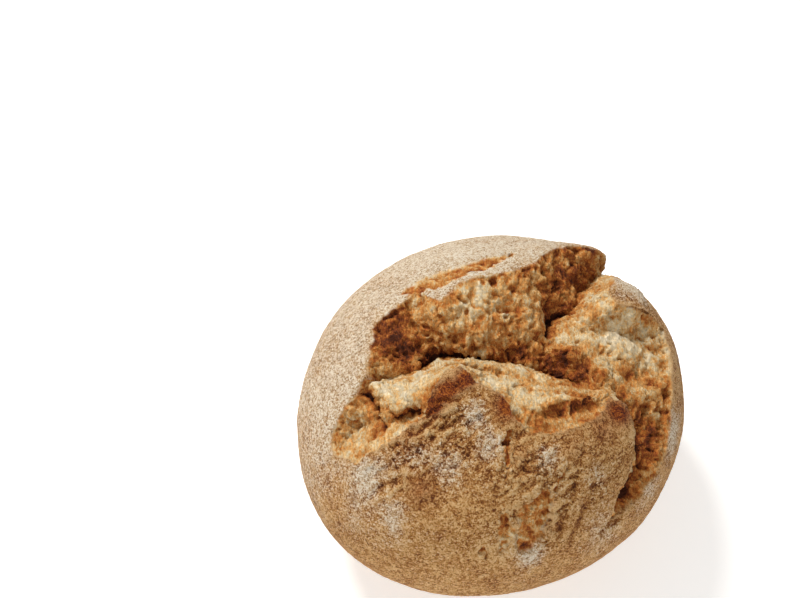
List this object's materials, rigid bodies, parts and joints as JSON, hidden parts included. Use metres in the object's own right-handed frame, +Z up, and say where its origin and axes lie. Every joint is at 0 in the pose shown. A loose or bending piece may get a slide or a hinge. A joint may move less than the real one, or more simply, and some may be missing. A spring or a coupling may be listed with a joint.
{
  "type": "bread roll",
  "caption": "Round rustic rye bread roll with a floured brown crust, a crown torn open to pale toasted crumb, and a small flat spot underneath to rest on.",
  "frame": {"origin": "centre of the roll's box, at the level of the flat spot it rests on", "axes": "+Z up through the crown; -Y towards the apron of crust in front of the tear; +X to the right seen from there"},
  "size_m": [0.0952, 0.0938, 0.0646],
  "materials": {
    "crust": "matt, dry and floured"
  },
  "bodies": {
    "root": {"bread_roll": "crust"}
  },
  "joints": []
}
